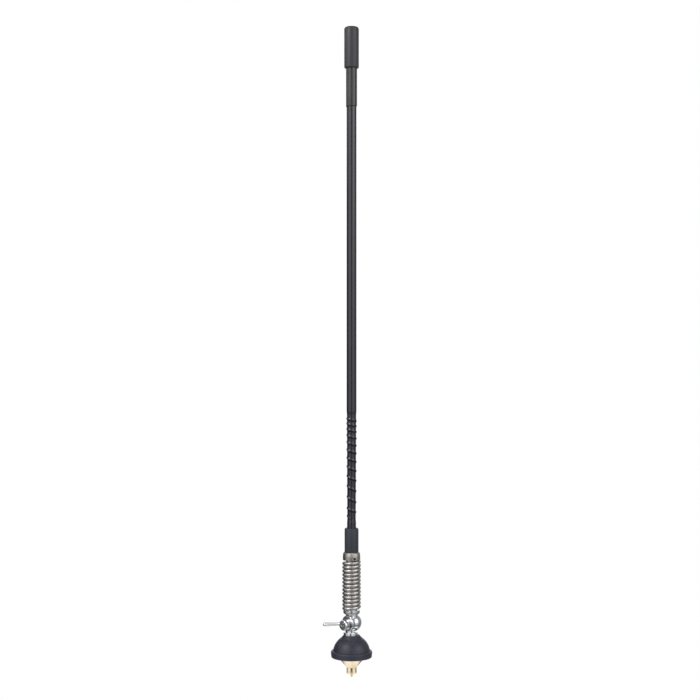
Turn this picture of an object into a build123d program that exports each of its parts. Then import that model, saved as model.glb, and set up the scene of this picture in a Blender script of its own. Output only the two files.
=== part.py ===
from build123d import *
from math import acos, asin, cos, degrees, radians, sin
import os

# A short whip antenna for a vehicle radio, in millimetres, with +Z up along the mast.
# The origin is on the mast's axis at the shoulder of the plug's barrel, where the plug seats in its socket.
# The knuckle's bolt lies along Y with the clamp lever on the -Y side, so the mast folds in the XZ plane.

os.makedirs("parts", exist_ok=True)

# Clearances
close_gap = 0.02  # radial, round a piece held in its seat
running_gap = 0.08  # radial, round a shaft that turns
face_gap = 0.05  # between flat faces that turn on each other
swing_gap = 0.3  # between a swinging piece and what it passes

# Plug: slotted barrel, cone and flange
barrel_radius = 5.7
barrel_length = 7.5
barrel_wall = 1.3
barrel_edge = 0.3
slot_count = 4
slot_width = 2.0
slot_root = 0.8
slot_angle = -46
cone_foot_radius = 6.2
cone_top_radius = 14.2
cone_height = 9.2
flange_thickness = 3.8

# Centre contact and its insulating bush
contact_radius = 1.4
contact_stem_radius = 1.1
contact_reach = 3.8
contact_nose = 1.4
contact_hold = 6.0
insulator_recess = 1.0
insulator_rise = 1.2

# Base dome
flange_recess = 2.4
lip_radius = 22.8
lip_foot_radius = 22.45
lip_height = 7.1
lip_top_round = 1.8
lip_foot_edge = 0.8
dome_radius = 20.6
dome_rise = 4.1
crown_height = 24.4
boss_top_radius = 9.0
boss_foot_radius = 12.2
boss_height = 3.95
boss_ledge = 0.3
boss_edge_round = 0.6
pocket_radius = 8.0
pocket_height = 10.5
gasket_radius = 20.2
gasket_proud = 0.3

# Nut and washer under the crown
base_washer_radius = 7.4
base_washer_thickness = 1.2
base_nut_across_flats = 13.0
base_nut_height = 5.0

# Knuckle
shank_radius = 4.0
shank_stand_off = 0.4
foot_radius = 7.8
foot_height = 3.2
foot_shift = 1.5
foot_edge = 0.5
stem_radius = 6.8
disc_radius = 8.5
disc_front = 6.8
disc_edge = 0.8
seam_shift = 3.0
ball_radius = 9.9
ball_offset = 1.7
ball_back = 10.0
neck_gap = 0.9
upper_shank_length = 11.5

# Pivot bolt, washer and clamp lever
bolt_radius = 2.5
bolt_head_radius = 4.0
bolt_head_height = 3.0
bolt_head_recess = 0.3
bolt_end_proud = 0.6
bolt_end_edge = 0.5
washer_radius = 4.8
washer_thickness = 1.0
washer_split = 0.8
boss_radius = 5.75
boss_length = 6.3
boss_drop = 1.3
lever_edge = 1.2
arm_length = 25.9
arm_inset = 0.8
arm_start = 3.4
arm_root_radius = 1.35
arm_end_radius = 2.1
arm_flare = 35
arm_drop = 3.6

# Spring and its plugs
plug_height = 4.3
plug_radius = 9.2
plug_round = 2.4
spigot_radius = 6.1
spigot_length = 11.7
spring_radius = 8.35
spring_wire = 3.9
spring_turns = 12.5
spring_height = 55.3
spring_start_angle = 214
spring_steps = 12
spring_sides = 8
braid_radius = 2.2
top_flange_radius = 9.6
top_flange_height = 8.6
top_flange_edge = 0.8
stud_radius = 4.0
stud_length = 18.4
stud_hole_spare = 0.6

# Set screw in the top flange
screw_radius = 1.5
screw_rise = 2.1
screw_sink = 1.0
screw_angle = -25
screw_socket_radius = 0.85
screw_socket_depth = 1.5

# Whip: ferrule, rod, winding, covering and collar
ferrule_radius = 5.6
ferrule_height = 20.0
ferrule_floor = 3.0
core_radius = 3.1
wire_thickness = 0.8
wire_sides = 4
wire_gap = 0.06
wire_sag = 0.12
collar_radius = 7.7
collar_height = 26.4
collar_edge = 1.0
jacket_foot_radius = 4.95
jacket_foot_height = 15.0
valley_low_radius = 4.65
valley_high_radius = 5.15
jacket_radius = 5.45
jacket_step = 1.5
whip_length = 544.0
core_short = 2.0

# Ridge of the open turns, left-handed, closing up towards the tip
ridge_height = 0.7
ridge_foot_width = 3.7
ridge_top_width = 1.3
ridge_end_room = 0.3
ridge_rise = 19.6
ridge_end_pitch = 8.8
ridge_first_pitch = 12.9
ridge_pitch_loss = 0.72
ridge_start_angle = 224
ridge_start_turn = -0.25
ridge_turns = 12.5
wire_start_turn = -1.25
winding_steps = 12

# Sleeve and cap at the tip
sleeve_wall = 0.6
sleeve_length = 43.0
cap_radius = 8.05
cap_height = 45.5
cap_overlap = 32.0
cap_round = 2.0
round_run_count = 2
dome_run_count = 4
ball_run_count = 4
cap_mouth_edge = 1.1

# Heights up the mast, each from the piece below
flange_top = cone_height + flange_thickness
rim_z = flange_top - flange_recess
crown_z = rim_z + crown_height
pocket_z = flange_top + pocket_height
foot_z = crown_z + foot_height
pivot_z = foot_z + swing_gap + ball_radius
plug_z = pivot_z + disc_radius + neck_gap
spring_z = plug_z + plug_height
spring_top_z = spring_z + spring_height
flange_z = spring_top_z + top_flange_height
ferrule_z = flange_z + ferrule_height
collar_z = flange_z + collar_height
whip_z = ferrule_z + whip_length
cap_z = whip_z - cap_overlap
shank_z = flange_top + insulator_rise + shank_stand_off
ridge_z = ferrule_z + ridge_rise
valley_z = ferrule_z + jacket_foot_height
screw_z = spring_top_z + screw_rise

barrel_bore = barrel_radius - barrel_wall
shank_hole = shank_radius + close_gap
bolt_hole = bolt_radius + running_gap
wire_path_radius = core_radius + wire_gap + wire_sag + wire_thickness / 2
jacket_bore = wire_path_radius + wire_thickness / 2 + 2 * wire_gap
pivot = (0, 0, pivot_z)


def winding_height(turn):
    """Height of the winding: a short end turn, then a pitch that shrinks by the same amount each turn."""
    if turn < 0:
        return ridge_z + ridge_first_pitch * turn
    open_turns = max(turn - 1, 0)
    shrinking = ridge_first_pitch * open_turns - ridge_pitch_loss * open_turns**2 / 2
    return ridge_z + ridge_end_pitch * min(turn, 1) + shrinking


winding_top_z = winding_height(ridge_turns)
valley_top_z = winding_top_z + ridge_foot_width / 2 + ridge_end_room


def valley_radius(height):
    """Radius of the covering between the ridges, growing evenly up the open turns."""
    share = (height - valley_z) / (valley_top_z - valley_z)
    return valley_low_radius + (valley_high_radius - valley_low_radius) * share


def polar(radius, angle, height):
    """Point at a radius and an angle in degrees round the mast."""
    return (radius * cos(radians(angle)), radius * sin(radians(angle)), height)


def round_points(x, y, radius, start_angle, end_angle, runs=round_run_count):
    """Arc about (x, y), as a few straight runs between the two angles in degrees."""
    angles = [start_angle + (end_angle - start_angle) * i / runs for i in range(runs + 1)]
    return [(x + radius * cos(radians(angle)), y + radius * sin(radians(angle))) for angle in angles]


def start_plane(points):
    """Plane at a path's first point, square to its first run, with its x axis pointing away from the mast."""
    first, second = Vector(*points[0]), Vector(*points[1])
    return Plane(origin=first, x_dir=(first.X, first.Y, 0), z_dir=second - first)


def spring_point(step):
    """Point on the spring's centre line, a number of short runs above its lower end."""
    turn = step / spring_steps
    height = spring_z + spring_wire / 2 + face_gap + spring_pitch * turn
    return polar(spring_radius, spring_start_angle + 360 * turn, height)


def wire_point(step):
    """Point on the left-handed winding's centre line, a number of short runs above its lower end."""
    turn = wire_start_turn + step / winding_steps
    return polar(wire_path_radius, ridge_start_angle - 360 * turn, winding_height(turn))


# Plug body: a turned flange and cone on a barrel with four spring fingers.
with BuildPart() as plug_body:
    with BuildSketch(Plane.XZ):
        with BuildLine():
            Polyline(
                (barrel_bore, -barrel_length),
                (barrel_radius - barrel_edge, -barrel_length),
                (barrel_radius, -barrel_length + barrel_edge),
                (barrel_radius, 0),
                (cone_foot_radius, 0),
                (cone_top_radius, cone_height),
                (cone_top_radius, flange_top),
                (barrel_bore, flange_top),
                close=True,
            )
        make_face()
    revolve(axis=Axis.Z)
    with BuildSketch(Plane.XY.offset(-barrel_length)):
        with PolarLocations(barrel_bore + barrel_wall / 2, slot_count, start_angle=slot_angle):
            Rectangle(2 * barrel_wall, slot_width)
    extrude(amount=barrel_length - slot_root, mode=Mode.SUBTRACT)
plug_body.part.label = "plug_body"

# Centre contact: a pin with a tapered nose; its shoulder meets the bush and its stem is held in the shank above.
contact_tip_z = -barrel_length - contact_reach
with BuildPart() as center_contact:
    with BuildSketch(Plane.XZ):
        with BuildLine():
            Polyline(
                (0, contact_tip_z),
                (contact_radius / 2, contact_tip_z),
                (contact_radius, contact_tip_z + contact_nose),
                (contact_radius, -insulator_recess),
                (contact_stem_radius, -insulator_recess),
                (contact_stem_radius, shank_z + contact_hold),
                (0, shank_z + contact_hold),
                close=True,
            )
        make_face()
    revolve(axis=Axis.Z)
center_contact.part.label = "center_contact"

# Insulating bush: fills the barrel above the contact's free length and stands out of the flange.
with BuildPart() as contact_insulator:
    with BuildSketch(Plane.XY.offset(-insulator_recess)):
        Circle(barrel_bore - close_gap)
        Circle(contact_stem_radius + close_gap, mode=Mode.SUBTRACT)
    extrude(amount=insulator_recess + flange_top + insulator_rise)
contact_insulator.part.label = "contact_insulator"

# Base dome: part of a ball on a rounded lip, with a raised boss at the crown.
dome_center_z = rim_z + dome_rise
lip_top_z = rim_z + lip_height
dome_foot_angle = degrees(asin((lip_top_z - dome_center_z) / dome_radius))
dome_top_angle = degrees(acos((boss_foot_radius + boss_ledge) / dome_radius))
with BuildPart() as base_dome:
    with BuildSketch(Plane.XZ):
        with BuildLine():
            Polyline(
                *round_points(0, dome_center_z, dome_radius, dome_top_angle, dome_foot_angle, dome_run_count),
                *round_points(lip_radius - lip_top_round, lip_top_z - lip_top_round, lip_top_round, 90, 0),
                (lip_foot_radius, rim_z + lip_foot_edge),
                (lip_foot_radius - lip_foot_edge, rim_z),
                (gasket_radius + close_gap, rim_z),
                (gasket_radius + close_gap, flange_top),
                (pocket_radius, flange_top),
                (pocket_radius, pocket_z),
                (shank_hole, pocket_z),
                (shank_hole, crown_z),
                (boss_top_radius - boss_edge_round, crown_z),
                (boss_top_radius, crown_z - boss_edge_round),
                (boss_foot_radius, crown_z - boss_height),
                close=True,
            )
        make_face()
    revolve(axis=Axis.Z)
base_dome.part.label = "base_dome"

# Seal ring round the plug's flange, standing a little proud so that it meets the roof first.
with BuildPart() as base_gasket:
    with BuildSketch(Plane.XY.offset(rim_z - gasket_proud)):
        Circle(gasket_radius)
        Circle(cone_top_radius + close_gap, mode=Mode.SUBTRACT)
    extrude(amount=flange_recess + gasket_proud)
base_gasket.part.label = "base_gasket"

# Washer and nut that clamp the dome up against the knuckle's foot.
with BuildPart() as base_washer:
    with BuildSketch(Plane.XY.offset(pocket_z - base_washer_thickness)):
        Circle(base_washer_radius)
        Circle(shank_hole, mode=Mode.SUBTRACT)
    extrude(amount=base_washer_thickness)
base_washer.part.label = "base_washer"

with BuildPart() as base_nut:
    with BuildSketch(Plane.XY.offset(pocket_z - base_washer_thickness - base_nut_height)):
        RegularPolygon(base_nut_across_flats / 2, 6, major_radius=False)
        Circle(shank_hole, mode=Mode.SUBTRACT)
    extrude(amount=base_nut_height)
base_nut.part.label = "base_nut"

# Lower knuckle: a shank on the mast's axis, a round foot set a little towards the lever, a flat stem, and the disc
# that the bolt crosses. The seam lies on the lever's side of the axis.
seam_y = seam_shift + face_gap
with BuildPart() as lower_knuckle:
    with BuildSketch(Plane.XZ):
        with BuildLine():
            Polyline(
                (0, shank_z),
                (shank_radius, shank_z),
                (shank_radius, crown_z),
                (0, crown_z),
                close=True,
            )
        make_face()
    revolve(axis=Axis.Z)
    with BuildSketch(Plane.XZ.offset(foot_shift)):
        with BuildLine():
            Polyline(
                (0, crown_z),
                (foot_radius, crown_z),
                (foot_radius, foot_z - foot_edge),
                (foot_radius - foot_edge, foot_z),
                (0, foot_z),
                close=True,
            )
        make_face()
    revolve(axis=Axis((0, -foot_shift, 0), (0, 0, 1)))
    with BuildSketch(Plane.XY.offset(foot_z)):
        Circle(stem_radius)
        with Locations((0, -(disc_front + seam_y) / 2)):
            Rectangle(2 * stem_radius, disc_front - seam_y, mode=Mode.INTERSECT)
    extrude(amount=pivot_z - foot_z)
    with BuildSketch(Plane.XY.offset(pivot_z)):
        with BuildLine():
            Polyline(
                (0, -seam_y),
                (disc_radius, -seam_y),
                (disc_radius, -disc_front + disc_edge),
                (disc_radius - disc_edge, -disc_front),
                (0, -disc_front),
                close=True,
            )
        make_face()
    revolve(axis=Axis(pivot, (0, 1, 0)))
    with BuildSketch(Plane.XZ.offset(seam_y)):
        with Locations((0, pivot_z)):
            Circle(bolt_hole)
    extrude(amount=disc_front, mode=Mode.SUBTRACT)
    with BuildSketch(Plane.XY.offset(shank_z)):
        Circle(contact_stem_radius + close_gap)
    extrude(amount=contact_hold + face_gap, mode=Mode.SUBTRACT)
lower_knuckle.part.label = "lower_knuckle"

# Upper knuckle: a ball cut flat where it meets the disc and under the plug, a round stem with the same flat, and a
# shank for the spring's plug.
ball_seam_angle = -degrees(asin((ball_offset + seam_shift) / ball_radius))
ball_back_angle = degrees(asin((ball_back - ball_offset) / ball_radius))
head_seat_y = ball_back - bolt_head_recess - bolt_head_height
with BuildPart() as upper_knuckle:
    with BuildSketch(Plane.XY.offset(pivot_z)):
        with BuildLine():
            Polyline(
                (0, -seam_shift),
                *round_points(0, ball_offset, ball_radius, ball_seam_angle, ball_back_angle, ball_run_count),
                (0, ball_back),
                close=True,
            )
        make_face()
    revolve(axis=Axis(pivot, (0, 1, 0)))
    with BuildSketch(Plane.XY.offset(pivot_z)):
        Circle(stem_radius)
        with Locations((0, (stem_radius - seam_shift) / 2)):
            Rectangle(2 * stem_radius, stem_radius + seam_shift, mode=Mode.INTERSECT)
    extrude(amount=plug_z - pivot_z)
    with BuildSketch(Plane.XY.offset(plug_z)):
        Rectangle(3 * ball_radius, 3 * ball_radius)
    extrude(amount=ball_radius, mode=Mode.SUBTRACT)
    with BuildSketch(Plane.XY.offset(plug_z)):
        Circle(shank_radius)
    extrude(amount=upper_shank_length)
    with BuildSketch(Plane.XZ.offset(seam_shift)):
        with Locations((0, pivot_z)):
            Circle(bolt_radius + close_gap)
    extrude(amount=-ball_back - seam_shift, mode=Mode.SUBTRACT)
    with BuildSketch(Plane.XZ.offset(-head_seat_y)):
        with Locations((0, pivot_z)):
            Circle(bolt_head_radius + close_gap)
    extrude(amount=-ball_back, mode=Mode.SUBTRACT)
upper_knuckle.part.label = "upper_knuckle"

# Split spring washer between the disc and the lever's boss.
washer_y = disc_front + washer_thickness
with BuildPart() as spring_washer:
    with BuildSketch(Plane.XZ.offset(disc_front)):
        with Locations((0, pivot_z)):
            Circle(washer_radius)
            Circle(bolt_hole + running_gap, mode=Mode.SUBTRACT)
        with Locations((0, pivot_z - washer_radius)):
            Rectangle(washer_split, 2 * washer_radius - 2 * bolt_radius, mode=Mode.SUBTRACT)
    extrude(amount=washer_thickness)
spring_washer.part.label = "spring_washer"

# Clamp lever: a round nut boss, set a little below the bolt, and one arm, flared away from the mast so that it
# clears the dome as it turns.
boss_y = washer_y + face_gap
arm_y = boss_y + arm_inset
arm_direction = Vector(
    -cos(radians(arm_flare)) * cos(radians(arm_drop)),
    -sin(radians(arm_flare)) * cos(radians(arm_drop)),
    -sin(radians(arm_drop)),
)
arm_side = arm_direction.cross(Vector(0, 0, 1))
arm_plane = Plane(origin=(0, -arm_y, pivot_z), x_dir=arm_direction, z_dir=arm_side)
with BuildPart() as clamp_lever:
    with BuildSketch(Plane.XY.offset(pivot_z - boss_drop)):
        with BuildLine():
            Polyline(
                (0, -boss_y),
                (boss_radius, -boss_y),
                *round_points(boss_radius - lever_edge, -boss_y - boss_length + lever_edge, lever_edge, 0, -90),
                (0, -boss_y - boss_length),
                close=True,
            )
        make_face()
    revolve(axis=Axis((0, 0, pivot_z - boss_drop), (0, 1, 0)))
    with BuildSketch(arm_plane):
        with BuildLine():
            Polyline(
                (arm_start, 0),
                (arm_start, arm_root_radius),
                *round_points(arm_length - arm_end_radius, 0, arm_end_radius, 90, 0),
                close=True,
            )
        make_face()
    revolve(axis=Axis(arm_plane.origin, arm_direction))
    with BuildSketch(Plane.XZ.offset(boss_y)):
        with Locations((0, pivot_z)):
            Circle(bolt_hole)
    extrude(amount=boss_length, mode=Mode.SUBTRACT)
clamp_lever.part.label = "clamp_lever"

# Pivot bolt: its head sinks into the ball's back and its end stands a little out of the boss.
bolt_end_y = boss_y + boss_length + bolt_end_proud
with BuildPart() as pivot_bolt:
    with BuildSketch(Plane.XZ.offset(-head_seat_y - bolt_head_height)):
        with Locations((0, pivot_z)):
            Circle(bolt_head_radius)
    extrude(amount=bolt_head_height)
    with BuildSketch(Plane.XZ.offset(-head_seat_y)):
        with Locations((0, pivot_z)):
            Circle(bolt_radius)
    extrude(amount=head_seat_y + bolt_end_y)
    chamfer(pivot_bolt.edges().group_by(Axis.Y)[0], bolt_end_edge)
pivot_bolt.part.label = "pivot_bolt"

# Bottom plug: a rounded flange under the spring, a spigot inside it and a blind hole for the knuckle's shank.
with BuildPart() as spring_bottom_plug:
    with BuildSketch(Plane.XZ):
        with BuildLine():
            Polyline(
                (shank_hole, plug_z),
                *round_points(plug_radius - plug_round, plug_z + plug_round, plug_round, -90, 0),
                (plug_radius, spring_z),
                (spigot_radius, spring_z),
                (spigot_radius, spring_z + spigot_length),
                (0, spring_z + spigot_length),
                (0, plug_z + upper_shank_length + face_gap),
                (shank_hole, plug_z + upper_shank_length + face_gap),
                close=True,
            )
        make_face()
    revolve(axis=Axis.Z)
spring_bottom_plug.part.label = "spring_bottom_plug"

# Coil spring: right-handed, its helix drawn as short runs and its round wire with flats.
spring_pitch = (spring_height - spring_wire - 2 * face_gap) / spring_turns
spring_points = [spring_point(step) for step in range(round(spring_turns * spring_steps) + 1)]
with BuildPart() as coil_spring:
    with BuildLine():
        spring_path = Polyline(*spring_points)
    with BuildSketch(start_plane(spring_points)):
        RegularPolygon(spring_wire / 2, spring_sides)
    sweep(path=spring_path, transition=Transition.RIGHT)
coil_spring.part.label = "coil_spring"

# Braided strap inside the spring, from one spigot to the other.
braid_z = spring_z + spigot_length
with BuildPart() as spring_braid:
    with BuildSketch(Plane.XY.offset(braid_z)):
        Circle(braid_radius)
    extrude(amount=spring_height - 2 * spigot_length)
spring_braid.part.label = "spring_braid"

# Top plug: a spigot inside the spring, a flange that holds the whip's stud, and the set screw's hole.
screw_direction = Vector(cos(radians(screw_angle)), sin(radians(screw_angle)), 0)
screw_start = stud_radius + close_gap
screw_end = top_flange_radius - screw_sink
with BuildPart() as spring_top_plug:
    with BuildSketch(Plane.XZ):
        with BuildLine():
            Polyline(
                (0, spring_top_z - spigot_length),
                (spigot_radius, spring_top_z - spigot_length),
                (spigot_radius, spring_top_z),
                (top_flange_radius, spring_top_z),
                (top_flange_radius, flange_z - top_flange_edge),
                (top_flange_radius - top_flange_edge, flange_z),
                (stud_radius + close_gap, flange_z),
                (stud_radius + close_gap, flange_z - stud_length - stud_hole_spare),
                (0, flange_z - stud_length - stud_hole_spare),
                close=True,
            )
        make_face()
    revolve(axis=Axis.Z)
    with BuildSketch(Plane(origin=(0, 0, screw_z), z_dir=screw_direction)):
        Circle(screw_radius)
    extrude(amount=top_flange_radius, mode=Mode.SUBTRACT)
spring_top_plug.part.label = "spring_top_plug"

# Set screw with a hexagon socket, pressed against the stud.
screw_inner = screw_direction * screw_start + Vector(0, 0, screw_z)
screw_outer = screw_direction * screw_end + Vector(0, 0, screw_z)
with BuildPart() as grub_screw:
    with BuildSketch(Plane(origin=screw_inner, z_dir=screw_direction)):
        Circle(screw_radius - close_gap)
    extrude(amount=screw_end - screw_start)
    with BuildSketch(Plane(origin=screw_outer, z_dir=screw_direction)):
        RegularPolygon(screw_socket_radius, 6)
    extrude(amount=-screw_socket_depth, mode=Mode.SUBTRACT)
grub_screw.part.label = "grub_screw"

# Ferrule: a cup round the rod's foot on a stud that the top plug holds.
with BuildPart() as whip_ferrule:
    with BuildSketch(Plane.XZ):
        with BuildLine():
            Polyline(
                (0, flange_z - stud_length),
                (stud_radius, flange_z - stud_length),
                (stud_radius, flange_z),
                (ferrule_radius, flange_z),
                (ferrule_radius, ferrule_z),
                (core_radius + close_gap, ferrule_z),
                (core_radius + close_gap, flange_z + ferrule_floor),
                (0, flange_z + ferrule_floor),
                close=True,
            )
        make_face()
    revolve(axis=Axis.Z)
whip_ferrule.part.label = "whip_ferrule"

# Rod of glass fibre, from the ferrule's floor into the cap.
with BuildPart() as whip_core:
    with BuildSketch(Plane.XY.offset(flange_z + ferrule_floor)):
        Circle(core_radius)
    extrude(amount=whip_z - core_short - flange_z - ferrule_floor)
whip_core.part.label = "whip_core"

# Winding: open turns of wire from the ferrule, then close-wound turns drawn as one tube up to the tip.
wire_steps = round((ridge_turns - wire_start_turn) * winding_steps)
wire_points = [wire_point(step) for step in range(wire_steps + 1)]
with BuildPart() as radiator_wire:
    with BuildLine():
        wire_path = Polyline(*wire_points)
    with BuildSketch(start_plane(wire_points)):
        RegularPolygon(wire_thickness / 2, wire_sides)
    sweep(path=wire_path, transition=Transition.RIGHT)
    with BuildSketch(Plane.XY.offset(winding_top_z)):
        Circle(wire_path_radius + wire_thickness / 2)
        Circle(wire_path_radius - wire_thickness / 2, mode=Mode.SUBTRACT)
    extrude(amount=whip_z - core_short - winding_top_z)
radiator_wire.part.label = "radiator_wire"


def ridge_points(step):
    """Four outline points across the ridge at one step, drawn together on the covering at both of its ends."""
    turn = ridge_start_turn + step / winding_steps
    angle = ridge_start_angle - 360 * turn
    height = winding_height(turn)
    if step in (0, ridge_steps):
        return [polar(valley_radius(height), angle, height)] * 4
    points = []
    for across in (-ridge_foot_width, -ridge_top_width, ridge_top_width, ridge_foot_width):
        level = height + across / 2
        standing = ridge_height if abs(across) == ridge_top_width else 0
        points.append(polar(valley_radius(level) + standing, angle, level))
    return points


def end_points(level):
    """Points on the ring that closes the wound stretch, one for each step of a turn."""
    steps = range(winding_steps)
    first = ridge_start_angle - 360 * ridge_start_turn
    return [polar(valley_radius(level), first - 360 * step / winding_steps, level) for step in steps]


def fan_faces(*points):
    """Triangles from the first point to each run between the others, leaving out those without area."""
    faces = []
    for second, third in zip(points[1:], points[2:]):
        if len({points[0], second, third}) == 3:
            faces.append(Face(Wire.make_polygon([points[0], second, third])))
    return faces


# Covering: shrunk over the winding, so that the open turns stand out of it as a ridge.
# The wound stretch is a closed skin of small flats; between two turns of the ridge lies one strip of the covering.
ridge_steps = round((ridge_turns - ridge_start_turn) * winding_steps)
ridge = [ridge_points(step) for step in range(ridge_steps + 1)]
bottom_ring = end_points(valley_z)
top_ring = end_points(valley_top_z)
skin = [Face(Wire.make_polygon(bottom_ring)), Face(Wire.make_polygon(top_ring))]
for step in range(ridge_steps):
    here, following = ridge[step], ridge[step + 1]
    column, next_column = step % winding_steps, (step + 1) % winding_steps
    for low, high in ((0, 1), (1, 2), (2, 3)):
        skin += fan_faces(here[low], following[low], following[high], here[high])
    if step < winding_steps - 1:
        skin += fan_faces(bottom_ring[column], bottom_ring[next_column], following[0], here[0])
    elif step == winding_steps - 1:
        skin += fan_faces(here[0], bottom_ring[column], bottom_ring[0], ridge[0][0], following[0])
    above, next_above = step + winding_steps, step + 1 + winding_steps
    if next_above <= ridge_steps:
        skin += fan_faces(here[3], following[3], ridge[next_above][0], ridge[above][0])
    elif above == ridge_steps:
        skin += fan_faces(following[3], top_ring[next_column], top_ring[column], ridge[above][0], here[3])
    else:
        skin += fan_faces(here[3], following[3], top_ring[next_column], top_ring[column])
with BuildPart() as whip_jacket:
    add(Solid(Shell(skin)))
    with BuildSketch(Plane.XZ):
        with BuildLine():
            Polyline(
                (0, ferrule_z),
                (jacket_foot_radius, ferrule_z),
                (jacket_foot_radius, valley_z - jacket_foot_radius + valley_low_radius),
                (valley_low_radius, valley_z),
                (0, valley_z),
                close=True,
            )
        make_face()
        with BuildLine():
            Polyline(
                (0, valley_top_z),
                (valley_high_radius, valley_top_z),
                (jacket_radius, valley_top_z + jacket_step),
                (jacket_radius, whip_z),
                (0, whip_z),
                close=True,
            )
        make_face()
    revolve(axis=Axis.Z)
    with BuildSketch(Plane.XY.offset(ferrule_z)):
        Circle(jacket_bore)
    extrude(amount=whip_length, mode=Mode.SUBTRACT)
whip_jacket.part.label = "whip_jacket"

# Collar: moulded sleeve over the ferrule and the foot of the covering.
with BuildPart() as whip_collar:
    with BuildSketch(Plane.XZ):
        with BuildLine():
            Polyline(
                (ferrule_radius + close_gap, flange_z),
                (collar_radius, flange_z),
                (collar_radius, collar_z - collar_edge),
                (collar_radius - collar_edge, collar_z),
                (jacket_foot_radius + close_gap, collar_z),
                (jacket_foot_radius + close_gap, ferrule_z),
                (ferrule_radius + close_gap, ferrule_z),
                close=True,
            )
        make_face()
    revolve(axis=Axis.Z)
whip_collar.part.label = "whip_collar"

# Shrink sleeve below the cap.
with BuildPart() as tip_sleeve:
    with BuildSketch(Plane.XY.offset(cap_z - sleeve_length)):
        Circle(jacket_radius + close_gap + sleeve_wall)
        Circle(jacket_radius + close_gap, mode=Mode.SUBTRACT)
    extrude(amount=sleeve_length)
tip_sleeve.part.label = "tip_sleeve"

# Cap: thick rubber pushed over the whip's end, flat on top with rounded edges.
with BuildPart() as tip_cap:
    with BuildSketch(Plane.XZ):
        with BuildLine():
            Polyline(
                (jacket_radius + close_gap, cap_z),
                (cap_radius - cap_mouth_edge, cap_z),
                (cap_radius, cap_z + cap_mouth_edge),
                *round_points(cap_radius - cap_round, cap_z + cap_height - cap_round, cap_round, 0, 90),
                (0, cap_z + cap_height),
                (0, whip_z + face_gap),
                (jacket_radius + close_gap, whip_z + face_gap),
                close=True,
            )
        make_face()
    revolve(axis=Axis.Z)
tip_cap.part.label = "tip_cap"

pieces = [
    plug_body,
    center_contact,
    contact_insulator,
    base_dome,
    base_gasket,
    base_washer,
    base_nut,
    lower_knuckle,
    upper_knuckle,
    spring_washer,
    clamp_lever,
    pivot_bolt,
    spring_bottom_plug,
    coil_spring,
    spring_braid,
    spring_top_plug,
    grub_screw,
    whip_ferrule,
    whip_core,
    radiator_wire,
    whip_jacket,
    whip_collar,
    tip_sleeve,
    tip_cap,
]
for piece in pieces:
    export_step(piece.part, f"parts/{piece.part.label}.step")
    print(piece.part.label, round(piece.part.volume, 1), "cubic millimetres")
print("height from tip to plug", round(cap_z + cap_height - contact_tip_z, 1))
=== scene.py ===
# %% [markdown]
# # A short whip antenna for a vehicle radio
# This notebook dresses a finished CAD model. The model is loaded as a fixed frame: its pieces never move and keep
# their shape, and each new surface is worked out in the same coordinates, so nothing has to be fitted by eye.
# Lengths are written in millimetres, as a maker would, and become metres only when a mesh is made.

# %% Load the frame
import bpy
import bmesh
import numpy as np
from math import acos, asin, atan2, cos, degrees, pi, radians, sin, tan
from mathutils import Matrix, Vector


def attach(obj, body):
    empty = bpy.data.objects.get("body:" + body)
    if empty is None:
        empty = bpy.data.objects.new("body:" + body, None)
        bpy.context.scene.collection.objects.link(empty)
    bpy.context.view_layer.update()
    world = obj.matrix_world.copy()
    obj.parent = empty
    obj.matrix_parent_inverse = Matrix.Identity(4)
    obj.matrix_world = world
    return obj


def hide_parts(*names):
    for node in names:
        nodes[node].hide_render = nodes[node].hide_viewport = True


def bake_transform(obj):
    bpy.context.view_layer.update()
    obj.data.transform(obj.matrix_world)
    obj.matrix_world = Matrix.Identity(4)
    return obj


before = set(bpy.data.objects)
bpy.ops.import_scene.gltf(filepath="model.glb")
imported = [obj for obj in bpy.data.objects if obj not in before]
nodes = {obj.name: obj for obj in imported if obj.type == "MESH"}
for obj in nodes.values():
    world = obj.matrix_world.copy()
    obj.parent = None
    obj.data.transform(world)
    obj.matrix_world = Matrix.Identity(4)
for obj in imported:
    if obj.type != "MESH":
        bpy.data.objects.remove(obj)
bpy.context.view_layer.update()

# %% [markdown]
# ## From a grid of points to a mesh
# Every new piece is a grid: rows run along a profile or a path and columns run round it. Four neighbouring points
# make one face. A turned part closes on itself round its axis, so the last column meets the first. Points that fall
# on one spot, such as the tip of a turned profile, are merged, and the faces are then turned to point outwards.
# Blender's own cylinders and cones could be edited into the same shapes, but a grid shows each size as a number.

# %% Grid helpers
def grid_faces(rows, columns, close_rows, close_columns):
    """Corner numbers of the faces between neighbours: a point's number is its row * columns + its column."""
    row = np.arange(rows if close_rows else rows - 1)[:, None]
    column = np.arange(columns if close_columns else columns - 1)[None, :]
    next_row, next_column = (row + 1) % rows, (column + 1) % columns
    corners = (row * columns + column, row * columns + next_column,
               next_row * columns + next_column, next_row * columns + column)
    return np.stack(np.broadcast_arrays(*corners), -1).reshape(-1, 4)


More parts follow.
